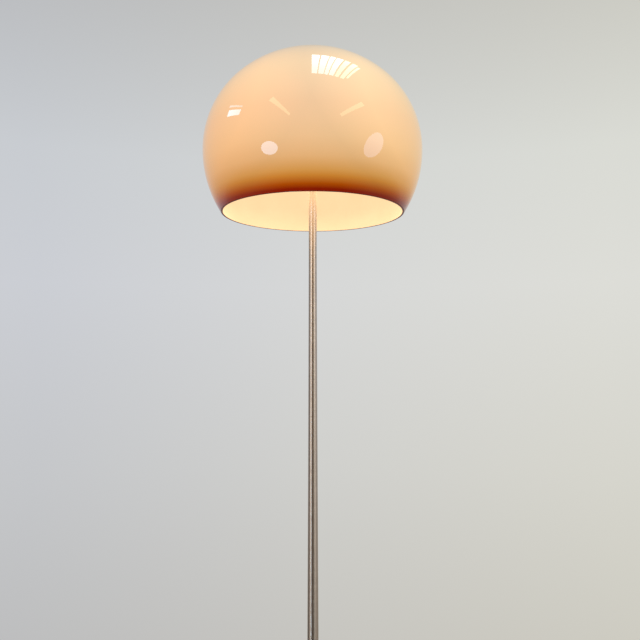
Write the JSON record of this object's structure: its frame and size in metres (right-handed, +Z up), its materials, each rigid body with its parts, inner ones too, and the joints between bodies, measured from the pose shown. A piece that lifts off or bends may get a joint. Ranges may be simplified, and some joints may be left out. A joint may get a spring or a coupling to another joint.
{
  "type": "mushroom floor lamp",
  "caption": "Floor lamp: glossy open dome on a slim tapered steel stem and a weighted trumpet foot with a foot switch, with screw-in bulbs in a V inside the dome.",
  "frame": {"origin": "centre of the felt pad's underside, on the floor under the stem", "axes": "+Z up along the stem, -Y towards the front with the foot switch, +Y towards the cord inlet, and the bulbs left and right along -X and +X"},
  "size_m": [0.3999, 0.4, 1.5118],
  "materials": {
    "shade_acrylic": "glossy, warm beige outside and white inside, lit from within",
    "satin_steel": "satin",
    "chrome": "polished",
    "zinc_steel": "zinc plated",
    "iron": "as cast, painted black",
    "felt": "felt",
    "rubber": "soft",
    "black_plastic": "moulded phenolic",
    "white_plastic": "moulded",
    "cable": "insulated lead",
    "brass": "bare",
    "porcelain": "glazed",
    "opal_glass": "opal, lit",
    "bulb_metal": "bright",
    "black_glass": "glossy"
  },
  "bodies": {
    "stand": {"stem": "satin_steel", "foot_cover": "satin_steel", "hub_cup": "satin_steel", "hub_lid": "satin_steel", "head_collar": "satin_steel", "switch_bezel": "chrome", "cord_gland": "chrome", "support_rod": "zinc_steel", "rod_nuts": "zinc_steel", "carrier_nut": "zinc_steel", "carrier_disc": "zinc_steel", "foot_bush": "zinc_steel", "head_bush": "zinc_steel", "base_screws": "zinc_steel", "base_plate": "zinc_steel", "tie_tube": "zinc_steel", "tie_washer": "zinc_steel", "tie_nut": "zinc_steel", "head_nipple": "zinc_steel", "hub_nut": "zinc_steel", "switch_spring": "zinc_steel", "foot_weight": "iron", "felt_pad": "felt", "carrier_gasket": "rubber", "gland_nut": "black_plastic", "switch_housing": "black_plastic", "holder_cap_left": "black_plastic", "holder_cap_right": "black_plastic", "holder_skirt_left": "black_plastic", "holder_skirt_right": "black_plastic", "terminal_block": "white_plastic", "hub_splice": "white_plastic", "stem_lead": "cable", "switch_lead": "cable", "holder_lead_left": "cable", "holder_lead_right": "cable", "arm_left": "brass", "arm_right": "brass", "screw_shell_left": "brass", "screw_shell_right": "brass", "centre_contact_left": "brass", "centre_contact_right": "brass", "holder_insert_left": "porcelain", "holder_insert_right": "porcelain"},
    "shade": {"dome": "shade_acrylic", "top_washer": "chrome"},
    "finial": {"knob": "chrome"},
    "bulb_left": {"bulb_glass_left": "opal_glass", "bulb_cap_left": "bulb_metal", "bulb_insulator_left": "black_glass", "bulb_tip_left": "bulb_metal"},
    "bulb_right": {"bulb_glass_right": "opal_glass", "bulb_cap_right": "bulb_metal", "bulb_insulator_right": "black_glass", "bulb_tip_right": "bulb_metal"},
    "switch_button": {"switch_button": "black_plastic"}
  },
  "joints": [
    {"name": "shade_lift", "type": "slide", "parent": "stand", "child": "shade", "axis": [0, 0, 1], "range_m": [0, 0.32]},
    {"name": "finial_turn", "type": "hinge", "parent": "shade", "child": "finial", "pos_m": [0, 0, 1.5], "axis": [0, 0, 1], "continuous": true},
    {"name": "bulb_left_turn", "type": "hinge", "parent": "stand", "child": "bulb_left", "pos_m": [0, 0, 1.27], "axis": [-0.8192, 0, 0.5736], "continuous": true},
    {"name": "bulb_right_turn", "type": "hinge", "parent": "stand", "child": "bulb_right", "pos_m": [0, 0, 1.27], "axis": [0.8192, 0, 0.5736], "continuous": true},
    {"name": "switch_press", "type": "slide", "parent": "stand", "child": "switch_button", "axis": [0, 0, -1], "range_m": [0, 0.004], "stiffness_N_per_m": 3000, "springref_m": -0.001, "deforming": ["switch_spring"]}
  ]
}
